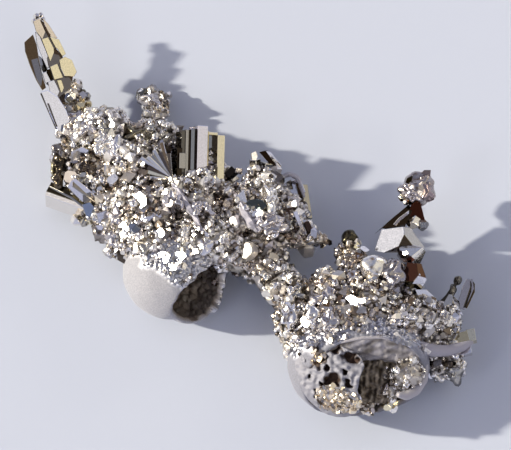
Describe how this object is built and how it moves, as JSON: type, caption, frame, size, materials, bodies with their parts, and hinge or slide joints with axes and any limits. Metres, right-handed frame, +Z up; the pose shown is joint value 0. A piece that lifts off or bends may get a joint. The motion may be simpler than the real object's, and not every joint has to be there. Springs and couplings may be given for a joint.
{
  "type": "palladium crystal",
  "caption": "Bright vapour-grown palladium specimen: two hollow droplets joined by a sparkling granular crust with blocky crystals, blades and stalks.",
  "frame": {"origin": "on the plane the specimen rests on, below the middle of its bounding box", "axes": "+Z up from the resting plane, +X along the longer horizontal side towards the end with the larger droplet, +Y towards the tall spire"},
  "size_m": [0.0114, 0.0108, 0.0022],
  "materials": {
    "palladium": "bright silvery metal, mirror-flat crystal faces and satin melted skin"
  },
  "bodies": {
    "root": {"palladium_crystal": "palladium"}
  },
  "joints": []
}
